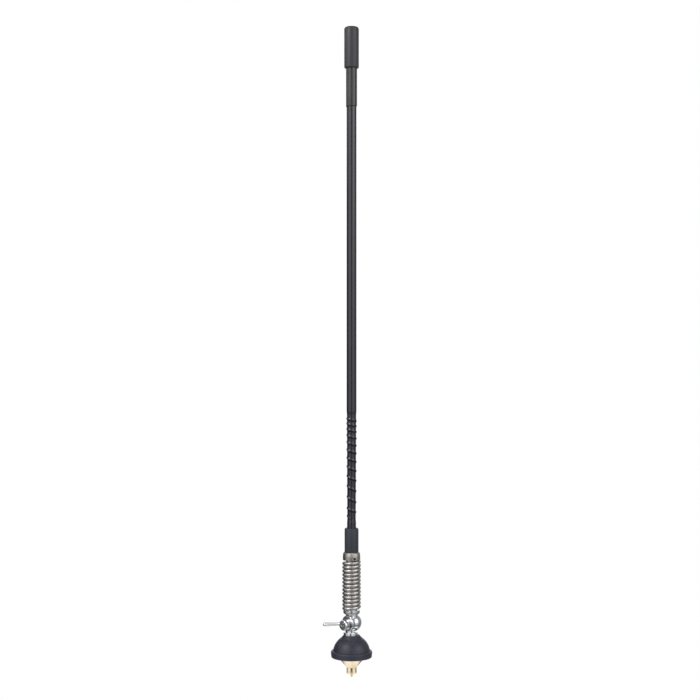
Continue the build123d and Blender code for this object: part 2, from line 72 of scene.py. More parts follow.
def make_piece(name, surfaces, sharp=35, caps=()):
    """One mesh from grids, each (points, close_rows, close_columns), points in mm; caps are flat faces of points."""
    points, faces, start = [], [], 0
    for grid, close_rows, close_columns in surfaces:
        rows, columns = grid.shape[:2]
        faces += (grid_faces(rows, columns, close_rows, close_columns) + start).tolist()
        points.append(grid.reshape(-1, 3))
        start += rows * columns
    for cap in caps:
        faces.append(list(range(start, start + len(cap))))
        points.append(np.asarray(cap, float))
        start += len(cap)
    mesh = bpy.data.meshes.new(name)
    mesh.from_pydata((np.concatenate(points) / 1000).tolist(), [], faces)
    work = bmesh.new()
    work.from_mesh(mesh)
    bmesh.ops.remove_doubles(work, verts=work.verts, dist=2e-6)
    bmesh.ops.recalc_face_normals(work, faces=work.faces)
    work.to_mesh(mesh)
    work.free()
    mesh.shade_smooth()
    mesh.set_sharp_from_angle(angle=radians(sharp))
    piece = bpy.data.objects.new(name, mesh)
    bpy.context.scene.collection.objects.link(piece)
    print(name, len(mesh.polygons), "faces")
    return piece

# %% [markdown]
# ## Turned parts
# Most of this antenna is turned on a lathe or moulded round an axis. A turned part is a profile, a list of corners
# (radius, height), carried round an axis. Real corners are never quite sharp, so a corner may have a rounding.
# A Spin or a Bevel modifier could do the same; worked out here, each rounding has the radius that the photograph asks.

# %% Profile and lathe helpers
def rounded(corners, runs=6):
    """Profile from corners (radius, height, rounding): each rounding is an arc that touches both straight runs."""
    profile = []
    count = len(corners)
    for i, (r, h, size) in enumerate(corners):
        here = np.array((r, h), float)
        if size <= 0:
            profile.append(here)
            continue
        before = np.array(corners[i - 1][:2], float) - here
        after = np.array(corners[(i + 1) % count][:2], float) - here
        before, after = before / np.linalg.norm(before), after / np.linalg.norm(after)
        half = acos(np.clip(before @ after, -1, 1)) / 2
        centre = here + (before + after) / np.linalg.norm(before + after) * size / sin(half)
        first, last = here + before * size / tan(half), here + after * size / tan(half)
        a0, a1 = (atan2(*(p - centre)[::-1]) for p in (first, last))
        turn = (a1 - a0 + pi) % (2 * pi) - pi
        angles = a0 + turn * np.linspace(0, 1, runs + 1)
        profile += list(centre + size * np.stack((np.cos(angles), np.sin(angles)), -1))
    return np.array(profile)


def turned(profile, axis=(0, 0, 1), centre=(0, 0, 0), side=(1, 0, 0), steps=96):
    """Lathe: point = centre + height * axis + radius * (cos(angle) * side + sin(angle) * axis x side)."""
    axis, side = np.array(axis, float), np.array(side, float)
    across = np.cross(axis, side)
    angle = np.arange(steps) * 2 * pi / steps
    spoke = np.cos(angle)[:, None] * side + np.sin(angle)[:, None] * across
    profile = np.asarray(profile, float)
    return np.array(centre, float) + profile[:, None, 1:2] * axis + profile[:, None, 0:1] * spoke[None]


def arc(radius, height, size, start, end, runs):
    """Arc of a profile about (radius, height), from the start to the end angle in degrees."""
    angles = np.radians(np.linspace(start, end, runs + 1))
    return np.stack((radius + size * np.cos(angles), height + size * np.sin(angles)), -1)


def corners_of(points):
    """Straight profile through the given corners (radius, height)."""
    return np.array(points, float)


def stand_for(piece, body, slot, *replaced):
    """Lets a new piece ride on a body and stand for the CAD nodes it replaces; the slot is not used."""
    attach(piece, body)
    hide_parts(*replaced)

# %% [markdown]
# ## Heights up the mast
# The origin is at the shoulder of the plug's barrel. These are the heights at which one piece ends and the next
# begins, so each surface below can be written from them. Spigots and shanks stand here too, as pieces meet on them.

# %% Heights in millimetres
flange_top, rim_z, crown_z, foot_z = 13.0, 10.6, 35.0, 38.2
pivot_z, plug_z, spring_z, spring_top_z = 48.4, 57.8, 62.1, 117.4
flange_z, ferrule_z, collar_z, whip_z = 126.0, 146.0, 152.4, 690.0
cap_z, cap_top_z, tip_z = 658.0, 703.5, -11.3
spigot_height, spigot_radius, shank_radius, shank_bore = 11.7, 6.1, 4.0, 4.02
print("whip from", ferrule_z, "to", whip_z, "and cap up to", cap_top_z)

# %% [markdown]
# ## Cap on the tip
# A thick rubber cap is pushed over the whip's end. It was moulded in one piece: a plain round, a flat top with a soft
# edge, and a slightly rounded mouth. Turning its profile gives true roundings where the CAD model has short flats, and
# they are a little larger than the CAD model's, as the photograph's cap is rounder.

# %% Tip cap
cap_radius, cap_bore, cap_floor_z = 8.05, 5.47, whip_z + 0.05
cap = make_piece("tip_cap_skin", [(turned(rounded([
    (0, cap_top_z, 0), (cap_radius, cap_top_z, 2.7), (cap_radius, cap_z, 1.3), (cap_bore, cap_z, 0.3),
    (cap_bore, cap_floor_z, 0), (0, cap_floor_z, 0)])), False, True)])
stand_for(cap, "whip", "rubber", "tip_cap")

# %% [markdown]
# ## Shrink sleeve under the cap
# A short length of glossy shrink tube covers the whip below the cap. It was cut by hand, so its lower end isn't quite
# square, and the heat drew its edge in towards the covering. The surface is a tube whose height tips with the angle:
# a straight cut with a Boolean would also slant, but it would leave the edge sharp.

# %% Tip sleeve
def tipped(profile, low, lean, facing, reach=6, steps=72):
    """Turned tube whose points move up by lean * cos(angle - facing) at the height low, and by nothing reach above."""
    grid = turned(profile, steps=steps)
    angle = np.arctan2(grid[..., 1], grid[..., 0])
    fade = np.clip(1 - (grid[..., 2] - low) / reach, 0, 1)
    grid[..., 2] += lean * np.cos(angle - radians(facing)) * fade
    return grid


sleeve_low, sleeve_radius, sleeve_bore = cap_z - 43.0, 6.07, 5.46
sleeve_cut, sleeve_lean, lean_facing = sleeve_low + 0.55, 0.55, 44
sleeve = make_piece("tip_sleeve_skin", [(tipped(rounded([
    (sleeve_radius, cap_z, 0), (sleeve_radius, sleeve_low + 5, 0), (sleeve_radius, sleeve_low + 1.2, 0.9),
    (5.62, sleeve_cut, 0.15), (sleeve_bore, sleeve_cut, 0), (sleeve_bore, cap_z, 0)]),
    sleeve_low, sleeve_lean, lean_facing), True, True)])
stand_for(sleeve, "whip", "gloss_shrink", "tip_sleeve")

# %% [markdown]
# ## Covering of the whip
# The radiator is wire wound round a glass-fibre rod. Near the foot the turns are open, and the tube that is shrunk
# over them follows each turn as a soft ridge. Above, the turns lie side by side and the covering is almost smooth.
# The surface is a radius for each angle and height: a plain base, plus a bump for the nearest turn of the ridge. A
# tube of wire under a Shrinkwrap modifier would need far more points for a ridge as smooth as this.

# %% Law of the winding
ridge_z, end_pitch, first_pitch, pitch_loss = 165.6, 8.8, 12.9, 0.72
ridge_turns, ridge_start_turn, ridge_start_angle = 12.5, -0.25, 224.0


def winding_height(turn):
    """Height of the ridge: one turn at the end pitch, then a first pitch that shrinks by the same loss each turn."""
    turn = np.asarray(turn, float)
    open_turns = np.maximum(turn - 1, 0)
    below = ridge_z + first_pitch * turn
    above = ridge_z + end_pitch * np.minimum(turn, 1) + first_pitch * open_turns - pitch_loss * open_turns**2 / 2
    return np.where(turn < 0, below, above)


winding_top_z = float(winding_height(ridge_turns))
print("open turns reach up to", round(winding_top_z, 1))

# %% Ridge over the turns
ridge_height, ridge_half_width, fade_turns = 0.72, 2.0, 0.3


def ridge_bump(angle, height):
    """Bump = cos^2 of the distance to the nearest turn at this angle, faded out over 0.3 turn at both ends."""
    share = ((radians(ridge_start_angle) - angle) / (2 * pi)) % 1
    bump = np.zeros(np.broadcast(angle, height).shape)
    for whole in range(-1, int(ridge_turns) + 1):
        turn = share + whole
        near = np.clip(np.abs(height - winding_height(turn)) / ridge_half_width, 0, 1)
        begun = np.clip((turn - ridge_start_turn) / fade_turns, 0, 1)
        left = np.clip((ridge_turns - turn) / fade_turns, 0, 1)
        bump = np.maximum(bump, np.cos(near * pi / 2) ** 2 * (begun * left))
    return bump

# %% Whip covering
base_heights = (ferrule_z, 158.5, 162.5, 277.3, 280.5, whip_z)
base_radii = (4.95, 4.95, 4.66, 5.13, 5.45, 5.45)
ridge_clear_z, covering_bore = 284, 4.2


def covering(heights, columns=96):
    """Radius = base radius + ridge height * bump; the base is narrowest between open turns and widest above them."""
    angle = (np.arange(columns) * 2 * pi / columns)[None, :]
    height = np.asarray(heights, float)[:, None]
    radius = np.interp(height, base_heights, base_radii) + ridge_height * ridge_bump(angle, height)
    return np.stack(np.broadcast_arrays(radius * np.cos(angle), radius * np.sin(angle), height), -1)


fine = np.arange(ferrule_z, ridge_clear_z, 0.4)
coarse = np.linspace(ridge_clear_z, whip_z, 60)
outer = covering(np.concatenate((fine, coarse)))
inner = turned([(covering_bore, z) for z in (whip_z, 420, ferrule_z)], steps=96)
covering_piece = make_piece("whip_covering", [(np.concatenate((outer, inner)), True, True)], sharp=50)
stand_for(covering_piece, "whip", "black_shrink", "whip_jacket")

# %% [markdown]
# ## Collar at the whip's foot
# A moulded collar grips the foot of the whip over a brass ferrule. Its top edge is bevelled, and the bevel catches
# the light in the photograph, so it is a true chamfer with small roundings. A Bevel modifier would round all edges
# alike, and here each has a size of its own.

# %% Collar
collar_radius, collar_mouth, ferrule_way = 7.7, 4.97, 5.62
collar = make_piece("whip_collar_skin", [(turned(rounded([
    (ferrule_way, flange_z, 0), (collar_radius, flange_z, 0.25), (collar_radius, collar_z - 1.0, 0.3),
    (6.75, collar_z, 0.3), (collar_mouth, collar_z, 0.1), (collar_mouth, ferrule_z, 0), (ferrule_way, ferrule_z, 0)],
    runs=3)), True, True)])
stand_for(collar, "whip", "black_plastic", "whip_collar")

# %% [markdown]
# ## Spring
# The spring is round steel wire, close-wound to the right and plated. It is a tube: a circle carried along a helix.
# Its ends are cut square. A curve with a round bevel would look the same, but a grid is a mesh from the start, as the
# frame needs.

# %% Spring wire
def helix_tube(radius, wire, turns, low, high, start_angle, steps=56, sides=20):
    """Circle carried along a helix: centre = (r cos a, r sin a, z); ring = out * cos(b) + binormal * sin(b)."""
    a = radians(start_angle) + np.linspace(0, 2 * pi * turns, int(turns * steps) + 1)[:, None]
    z = np.linspace(low, high, len(a))[:, None]
    out = np.concatenate((np.cos(a), np.sin(a), 0 * a), 1)
    slope = (high - low) / (2 * pi * turns)
    along = np.concatenate((-radius * np.sin(a), radius * np.cos(a), slope + 0 * a), 1)
    along /= np.linalg.norm(along, axis=1, keepdims=True)
    up = np.cross(along, out)
    b = np.arange(sides) * 2 * pi / sides
    ring = out[:, None] * np.cos(b)[None, :, None] + up[:, None] * np.sin(b)[None, :, None]
    return radius * out[:, None] + z[:, None] * np.array((0, 0, 1.0)) + ring * wire / 2


spring_radius, spring_wire, spring_turns, wire_seat, wire_start_angle = 8.35, 3.94, 12.5, 2.0, 214
wire_grid = helix_tube(spring_radius, spring_wire, spring_turns, spring_z + wire_seat, spring_top_z - wire_seat,
                       wire_start_angle)
spring = make_piece("spring_wire", [(wire_grid, False, True)], caps=(wire_grid[0], wire_grid[-1]))
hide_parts("coil_spring")
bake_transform(spring)

# %% [markdown]
# ## Strap inside the spring
# A woven copper strap carries the current past the spring. Two families of strands wind round it in opposite
# directions, and the product of their two waves leaves a pad where strands cross. Strands modelled one by one would
# cost many faces for a piece that hides inside the spring.

# %% Woven strap
def woven(radius, low, high, strands=8, slant=2.2, relief=0.12, rows=160, columns=64):
    """Radius = radius - 0.13 mm + relief * sin(strands * angle + slant * z) * sin(strands * angle - slant * z)."""
    z = np.linspace(low, high, rows)[:, None]
    a = (np.arange(columns) * 2 * pi / columns)[None, :]
    r = radius - 0.13 + relief * np.sin(strands * a + slant * z) * np.sin(strands * a - slant * z)
    return np.stack(np.broadcast_arrays(r * np.cos(a), r * np.sin(a), z), -1)


strap_radius = 2.2
strap_grid = woven(strap_radius, spring_z + spigot_height, spring_top_z - spigot_height)
strap = make_piece("woven_strap", [(strap_grid, False, True)], sharp=80, caps=(strap_grid[0], strap_grid[-1]))
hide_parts("spring_braid")
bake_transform(strap)

# %% [markdown]
# ## Plug under the spring
# The bottom plug is turned from bar: a rounded flange carries the spring, and a spigot centres it. A hole from below
# takes the knuckle's shank, so the profile turns back inside itself.

# %% Bottom plug
plug_radius, spigot_top_z, plug_hole_top_z = 9.2, spring_z + spigot_height, plug_z + 11.55
plug = make_piece("spring_foot_plug", [(turned(rounded([
    (shank_bore, plug_z, 0), (plug_radius, plug_z, 2.4), (plug_radius, spring_z, 0.25), (spigot_radius, spring_z, 0),
    (spigot_radius, spigot_top_z, 0.6), (0, spigot_top_z, 0), (0, plug_hole_top_z, 0),
    (shank_bore, plug_hole_top_z, 0)], 10)), False, True)], sharp=40)
stand_for(plug, "mast_foot", "chrome", "spring_bottom_plug")

# %% [markdown]
# ## Plug over the spring
# The top plug is turned too. Its shoulder narrows a little towards the top and ends in a soft edge, which is where the
# photograph shows a bright oval. The set screw's hole is drilled: a closed round is subtracted and then thrown away,
# because a hole across a turned piece has no simple place in its grid.

# %% Top plug
def drilled(piece, start, direction, radius, depth):
    """Takes a round hole out of a closed piece: a cylinder from start along direction, as long as the depth."""
    direction = np.array(direction, float)
    hole = turned([(0, 0), (radius, 0), (radius, depth), (0, depth)], axis=direction, centre=start,
                  side=np.cross(direction, (0, 0, 1)), steps=48)
    cutter = make_piece("drill", [(hole, False, True)])
    cut = piece.modifiers.new("hole", "BOOLEAN")
    cut.operation, cut.solver, cut.object = "DIFFERENCE", "EXACT", cutter
    bpy.context.view_layer.update()
    done = bpy.data.meshes.new_from_object(piece.evaluated_get(bpy.context.evaluated_depsgraph_get()))
    piece.modifiers.clear()
    piece.data = done
    bpy.data.objects.remove(cutter)
    done.shade_smooth()
    done.set_sharp_from_angle(angle=radians(32))
    print(piece.name, "drilled,", len(done.polygons), "faces")


head_radius, stud_bore, spigot_low_z, stud_low_z = 9.6, 4.05, spring_top_z - spigot_height, flange_z - 19
top_plug = make_piece("spring_head_plug", [(turned(rounded([
    (0, spigot_low_z, 0), (spigot_radius, spigot_low_z, 0.6), (spigot_radius, spring_top_z, 0),
    (head_radius, spring_top_z, 0.25), (head_radius, flange_z - 4.2, 7.0), (9.2, flange_z - 1.0, 0.9),
    (8.2, flange_z, 0.3), (stud_bore, flange_z, 0), (stud_bore, stud_low_z, 0), (0, stud_low_z, 0)], 8),
    steps=120), False, True)])
screw_angle, screw_z, screw_bore, screw_reach = radians(-25), spring_top_z + 2.1, 1.52, 12
drilled(top_plug, (0, 0, screw_z), (cos(screw_angle), sin(screw_angle), 0), screw_bore, screw_reach)
stand_for(top_plug, "whip", "nickel", "spring_top_plug")

# %% [markdown]
# ## Knuckle
# The knuckle has two halves on one bolt, which lies along Y. The upper half is a ball, cut flat at the seam and under
# the plug. The lower half is a disc on a flat stem, which stands on a round foot. Ball and disc are turned about the
# bolt; a stem is the part of a circle between two planes, carried upwards. The forms run into each other as separate
# closed shells of one mesh, which shows the same seams as a Boolean would and keeps every face clean.

# %% Stem between two planes
def stem_slice(radius, low_y, high_y, low, high, runs=16):
    """Outline: the circle x^2 + y^2 = r^2 between the planes y = low_y and y = high_y, carried from low to high."""
    first, last = asin(low_y / radius), asin(high_y / radius)
    right_side = np.linspace(first, last, runs + 1)
    left_side = pi - right_side[::-1]
    angle = np.concatenate((right_side, left_side))
    outline = np.stack((radius * np.cos(angle), radius * np.sin(angle)), -1)
    grid = np.empty((2, len(outline), 3))
    grid[..., :2] = outline[None]
    grid[..., 2] = np.array((low, high))[:, None]
    return grid

# %% Upper half
pivot = (0, 0, pivot_z)
seam_y, disc_y, ball_y, back_y, ball_radius = -3.0, -6.8, 1.7, 10.0, 9.9
bolt_bore, bolt_head_floor_y, stem_radius, stem_reach = 2.52, 6.7, 6.8, 3.6
seam_angle = degrees(asin((seam_y - ball_y) / ball_radius))
back_angle = degrees(asin((back_y - ball_y) / ball_radius))
ball = turned(np.concatenate((
    corners_of([(bolt_bore, seam_y)]), arc(0, ball_y, ball_radius, seam_angle, back_angle, 40),
    corners_of([(5.2, back_y), (4.25, back_y), (4.02, 9.8), (4.02, bolt_head_floor_y),
                (bolt_bore, bolt_head_floor_y)]))), axis=(0, 1, 0), centre=pivot, steps=120)
ball[..., 2] = np.minimum(ball[..., 2], plug_z - 0.02)
stem = stem_slice(stem_radius, seam_y, stem_radius, pivot_z + stem_reach, plug_z)
shank_low_z, shank_top_z = plug_z - 1, plug_z + 11.5
shank = turned([(0, shank_low_z), (shank_radius, shank_low_z), (shank_radius, plug_z + 11.1), (3.6, shank_top_z),
                (0, shank_top_z)])
upper = make_piece("knuckle_ball", [(ball, True, True), (stem, False, True), (shank, False, True)],
                   caps=(stem[0], stem[1]), sharp=30)
stand_for(upper, "mast_foot", "chrome", "upper_knuckle")

# %% Lower half
bolt_way, disc_radius, disc_seam, foot_radius, foot_y = 2.58, 8.5, 3.05, 7.8, -1.5
stud_hole, stud_hole_top_z = 1.12, 20.65
disc = turned(rounded([
    (bolt_way, disc_seam, 0), (disc_radius, disc_seam, 0.12), (disc_radius, -disc_y, 0.8), (2.9, -disc_y, 0),
    (bolt_way, 6.5, 0)]), axis=(0, -1, 0), centre=pivot, steps=120)
lower_stem = stem_slice(stem_radius, disc_y, seam_y - 0.05, foot_z - 0.3, pivot_z - stem_reach)
lower_shank = turned([
    (stud_hole, 14.6), (3.6, 14.6), (shank_radius, 15.0), (shank_radius, crown_z + 0.5), (0, crown_z + 0.5),
    (0, stud_hole_top_z), (stud_hole, stud_hole_top_z)])
foot = turned(rounded([(0, crown_z, 0), (foot_radius, crown_z, 0.15), (foot_radius, foot_z, 0.7), (0, foot_z, 0)]),
              centre=(0, foot_y, 0), steps=120)
lower = make_piece("knuckle_disc", [(disc, True, True), (lower_stem, False, True), (lower_shank, False, True),
                                    (foot, False, True)], caps=(lower_stem[0], lower_stem[1]), sharp=30)
stand_for(lower, "base", "chrome", "lower_knuckle")

# %% [markdown]
# ## Clamp lever
# A round boss on the bolt's end carries one arm. The boss hangs a little lower than its bolt hole, so the turned round
# is moved down everywhere but at the hole. The arm is a club: thin at the neck, thicker at the rounded end, and it
# flares into the boss. It is turned about its own axis, which leans out from the mast and a little down. Sculpting or
# a Subdivision Surface would give soft shapes like these too, but the formulas keep the arm's thickness measurable.

# %% Boss of the lever
boss_y, boss_drop, boss_radius = 7.85, 1.3, 5.75
boss_end_y, hole_rim, rim_ease = boss_y + 6.3, 2.9, 1.5
boss = turned(rounded([
    (bolt_way, boss_y, 0), (boss_radius, boss_y, 0.3), (boss_radius, boss_end_y, 1.3), (2.7, boss_end_y, 0.2),
    (bolt_way, boss_y + 6.1, 0)]), axis=(0, -1, 0), centre=pivot)
outward = np.clip((np.hypot(boss[..., 0], boss[..., 2] - pivot_z) - hole_rim) / rim_ease, 0, 1)
boss[..., 2] -= boss_drop * outward

# %% Arm of the lever
out_angle, down_angle = radians(35), radians(3.6)
arm_axis = np.array((-cos(out_angle) * cos(down_angle), -sin(out_angle) * cos(down_angle), -sin(down_angle)))
arm_side = np.cross(arm_axis, (0, 0, 1))
arm_side /= np.linalg.norm(arm_side)


def club(start, end, neck, fat, root, rows=64):
    """Radius by the share s of the arm: neck growing to fat, plus root * exp(-7 s); the end is a round nose."""
    s = np.linspace(start, end - fat, rows)
    share = (s - start) / (end - fat - start)
    radius = neck + (fat - neck) * (3 * share**2 - 2 * share**3) ** 0.8 + root * np.exp(-7 * share)
    straight = np.stack((radius, s), -1)
    nose = arc(0, end - fat, fat, 0, 90, 10)
    return np.concatenate((corners_of([(0, start)]), straight, nose[1:]))


arm = turned(club(start=3.4, end=25.86, neck=1.3, fat=2.08, root=0.9), axis=arm_axis, side=arm_side,
             centre=(0, -boss_y - 0.8, pivot_z), steps=40)
lever = make_piece("lever_forging", [(boss, True, True), (arm, False, True)])
stand_for(lever, "lever", "chrome", "clamp_lever")

# %% [markdown]
# ## Base dome
# The dome is moulded in black plastic: part of a ball that stands on a rounded lip, with a raised boss under the
# knuckle. A sphere could be cut with a Boolean, but turned arcs meet the lip and the boss without a stray edge. They
# come from the same centre and radii as the CAD model's short flats.

# %% Dome
dome_centre, dome_radius, dome_low_z, dome_top_radius = 14.7, 20.6, 17.7, 12.5
lip_round, rim_round, rim_bore, well_radius, well_z = 1.8, 0.8, 20.22, 8.0, 23.5
dome_low = degrees(asin((dome_low_z - dome_centre) / dome_radius))
dome_high = degrees(acos(dome_top_radius / dome_radius))
dome_profile = np.concatenate((
    corners_of([(shank_bore, crown_z)]), arc(8.4, crown_z - 0.6, 0.6, 90, 12, 5),
    corners_of([(12.1, crown_z - 3.8)]), arc(0, dome_centre, dome_radius, dome_high, dome_low, 40),
    arc(21.0, 15.9, lip_round, 90, 0, 12), arc(21.6, 11.4, rim_round, 0, -90, 6),
    corners_of([(rim_bore, rim_z), (rim_bore, flange_top), (well_radius, flange_top), (well_radius, well_z),
                (shank_bore, well_z)])))
dome = make_piece("dome_moulding", [(turned(dome_profile, steps=144), True, True)], sharp=28)
stand_for(dome, "base", "black_plastic", "base_dome")

# %% [markdown]
# ## Plug
# The plug is turned brass: a flange, a cone and a barrel. The barrel is sawn into four spring fingers that grip the
# socket. The slots could be cut with a Boolean. Here a finger is the barrel's wall section carried round between two
# sawn faces, and the saw leaves parallel walls, so the angle at which a finger ends depends on the radius.

# %% Plug and fingers
def finger(section, slot_angle, half_width=1.0, steps=14):
    """Section point (r, z) at angle = slot angle + e + t * (90 deg - 2 e), where e = asin(half slot width / r)."""
    section = np.asarray(section, float)
    end = np.arcsin(half_width / section[:, 0])[:, None]
    t = np.linspace(0, 1, steps + 1)[None, :]
    angle = radians(slot_angle) + end + t * (pi / 2 - 2 * end)
    r, z = section[:, 0:1], section[:, 1:2]
    return np.stack(np.broadcast_arrays(r * np.cos(angle), r * np.sin(angle), z), -1)


bush_bore, barrel_radius, cone_low_radius, cone_top_radius, cone_top_z = 4.4, 5.7, 6.2, 14.2, 9.2
ring_low_z, finger_root_z, finger_tip_z, first_slot = -0.8, -0.5, -7.5, -46
plug_ring = turned(rounded([
    (bush_bore, ring_low_z, 0), (barrel_radius, ring_low_z, 0), (barrel_radius, 0, 0), (cone_low_radius, 0, 0.1),
    (cone_top_radius, cone_top_z, 0.5), (cone_top_radius, flange_top, 0.3), (bush_bore, flange_top, 0)]), steps=120)
wall = rounded([(bush_bore, finger_root_z, 0), (bush_bore, finger_tip_z, 0.12), (barrel_radius, finger_tip_z, 0.3),
                (barrel_radius, finger_root_z, 0)], runs=4)
fingers = [finger(wall, first_slot + 90 * quarter) for quarter in range(4)]
ends = [side for one in fingers for side in (one[:, 0], one[:, -1])]
plug_piece = make_piece("plug_turning", [(plug_ring, True, True)] + [(one, True, False) for one in fingers], caps=ends)
stand_for(plug_piece, "base", "brass", "plug_body")

# %% [markdown]
# The centre contact is one turned pin: a blunt tip below the barrel, a thicker body, and a thin stem that runs up
# through the insulating bush into the knuckle's shank. It is a profile again, since every size of it is a radius.

# %% Centre contact
contact_radius, contact_step_z, contact_stem_radius, contact_top_z = 1.4, -1.0, 1.1, 20.6
contact = make_piece("contact_pin", [(turned(rounded([
    (0, tip_z, 0), (0.7, tip_z, 0.2), (contact_radius, tip_z + 1.4, 0.3), (contact_radius, contact_step_z, 0),
    (contact_stem_radius, contact_step_z, 0), (contact_stem_radius, contact_top_z, 0), (0, contact_top_z, 0)],
    runs=4), steps=48), False, True)])
stand_for(contact, "base", "brass", "center_contact")

# %% [markdown]
# ## Shared surface effects
# Each effect is built once as a node group and placed in every material with its own values. A group puts out only
# heights, masks and colours; the shader stays in the material. All patterns read the piece's Object coordinates, so
# they move with the piece.

# %% Node helpers
def new_group(name, inputs, outputs):
    """Empty node group with named sockets: inputs and outputs are (name, kind, default)."""
    group = bpy.data.node_groups.new(name, "ShaderNodeTree")
    for direction, sockets in (("INPUT", inputs), ("OUTPUT", outputs)):
        for label, kind, default in sockets:
            socket = group.interface.new_socket(name=label, in_out=direction, socket_type=kind)
            if default is not None:
                socket.default_value = default
    return group, group.nodes.new("NodeGroupInput"), group.nodes.new("NodeGroupOutput")


def add_node(tree, kind, settings=None, **links):
    """Adds a node, sets its properties, and links or sets inputs by name; i0, i1 and so on are socket numbers."""
    node = tree.nodes.new(kind)
    for key, value in (settings or {}).items():
        setattr(node, key, value)
    for key, value in links.items():
        by_number = key[0] == "i" and key[1:].isdigit()
        socket = node.inputs[int(key[1:]) if by_number else key.replace("_", " ")]
        if isinstance(value, bpy.types.NodeSocket):
            tree.links.new(value, socket)
        else:
            socket.default_value = value
    return node


def scale_of(tree, size):
    """A noise texture's scale for marks of a size in metres: 1 / size."""
    return add_node(tree, "ShaderNodeMath", {"operation": "DIVIDE"}, i0=1.0, i1=size).outputs[0]


VALUE, COLOUR, VECTOR = "NodeSocketFloat", "NodeSocketColor", "NodeSocketVector"

# %% [markdown]
# Moulded rubber and plastic have a fine, even grain, and their gloss wanders in wider patches. A picture of the grain
# would need a texture file and seams, so two noises make it, and both sizes are given in metres.

# %% Grain of moulded rubber and plastic
grain, g_in, g_out = new_group("moulded_grain", [
    ("Vector", VECTOR, None), ("Grain Size", VALUE, 0.0004), ("Patch Size", VALUE, 0.02)],
    [("Height", VALUE, None), ("Patches", VALUE, None)])
fine_noise = add_node(grain, "ShaderNodeTexNoise", Vector=g_in.outputs["Vector"],
                      Scale=scale_of(grain, g_in.outputs["Grain Size"]), Detail=4.0)
patch_noise = add_node(grain, "ShaderNodeTexNoise", Vector=g_in.outputs["Vector"],
                       Scale=scale_of(grain, g_in.outputs["Patch Size"]), Detail=3.0)
grain.links.new(fine_noise.outputs["Fac"], g_out.inputs["Height"])
grain.links.new(patch_noise.outputs["Fac"], g_out.inputs["Patches"])
print("grain group ready")

# %% [markdown]
# A lathe tool leaves fine rings round the axis, and a shrunk tube over close-wound wire shows faint ribs. Both are
# lines across one axis, so one group serves both: it takes the height along the axis and makes soft, uneven lines.

# %% Rings round an axis
rings, r_in, r_out = new_group("rings_round_axis", [
    ("Vector", VECTOR, None), ("Pitch", VALUE, 0.0008), ("Unevenness", VALUE, 0.5)],
    [("Height", VALUE, None)])
split = add_node(rings, "ShaderNodeSeparateXYZ", Vector=r_in.outputs["Vector"])
count = add_node(rings, "ShaderNodeMath", {"operation": "DIVIDE"}, i0=split.outputs["Z"], i1=r_in.outputs["Pitch"])
angle_of = add_node(rings, "ShaderNodeMath", {"operation": "MULTIPLY"}, i0=count.outputs[0], i1=2 * pi)
wave = add_node(rings, "ShaderNodeMath", {"operation": "SINE"}, i0=angle_of.outputs[0])
uneven = add_node(rings, "ShaderNodeTexNoise", {"noise_dimensions": "1D"}, W=count.outputs[0], Scale=0.7, Detail=3.0)
weight = add_node(rings, "ShaderNodeMath", {"operation": "MULTIPLY"}, i0=uneven.outputs["Fac"],
                  i1=r_in.outputs["Unevenness"])
height_of = add_node(rings, "ShaderNodeMath", {"operation": "MULTIPLY_ADD"}, i0=wave.outputs[0], i1=0.25,
                     i2=weight.outputs[0])
rings.links.new(height_of.outputs[0], r_out.inputs["Height"])
print("rings group ready")

# %% [markdown]
# Metal that is handled and plated is never one flat tone. This group blends two tones by a soft noise, turns the same
# noise into roughness, so that a darker patch is duller too, and gives a mask of fine hairline marks for the relief.

# %% Uneven tone of metal
tone, t_in, t_out = new_group("metal_tone", [
    ("Vector", VECTOR, None), ("Light Tone", COLOUR, (1, 1, 1, 1)), ("Dark Tone", COLOUR, (0.5, 0.5, 0.5, 1)),
    ("Patch Size", VALUE, 0.006), ("Smooth", VALUE, 0.1), ("Dull", VALUE, 0.3)],
    [("Color", COLOUR, None), ("Roughness", VALUE, None), ("Marks", VALUE, None)])
tone_noise = add_node(tone, "ShaderNodeTexNoise", Vector=t_in.outputs["Vector"],
                      Scale=scale_of(tone, t_in.outputs["Patch Size"]), Detail=5.0)
tone_ramp = add_node(tone, "ShaderNodeMapRange", {"interpolation_type": "SMOOTHSTEP"}, Value=tone_noise.outputs["Fac"],
                     From_Min=0.35, From_Max=0.7)
tone_mix = add_node(tone, "ShaderNodeMix", {"data_type": "RGBA"}, i0=tone_ramp.outputs["Result"],
                    i6=t_in.outputs["Light Tone"], i7=t_in.outputs["Dark Tone"])
marks_per_metre = (900.0, 900.0, 5000.0)
stretched = add_node(tone, "ShaderNodeVectorMath", {"operation": "MULTIPLY"}, i0=t_in.outputs["Vector"],
                     i1=marks_per_metre)
marks = add_node(tone, "ShaderNodeTexNoise", Vector=stretched.outputs[0], Scale=1.0, Detail=4.0)
rough_mix = add_node(tone, "ShaderNodeMapRange", Value=tone_noise.outputs["Fac"], From_Min=0.3, From_Max=0.75,
                     To_Min=t_in.outputs["Smooth"], To_Max=t_in.outputs["Dull"])
tone.links.new(tone_mix.outputs[2], t_out.inputs["Color"])
tone.links.new(rough_mix.outputs["Result"], t_out.inputs["Roughness"])
tone.links.new(marks.outputs["Fac"], t_out.inputs["Marks"])
print("metal tone group ready")

# %% [markdown]
# ## Finishes
# Black pieces first. Rubber, moulded plastic and shrunk tube have almost the same colour, and what tells them apart is
# how rough they are, how coarse their grain is, and how sharply they mirror the light.

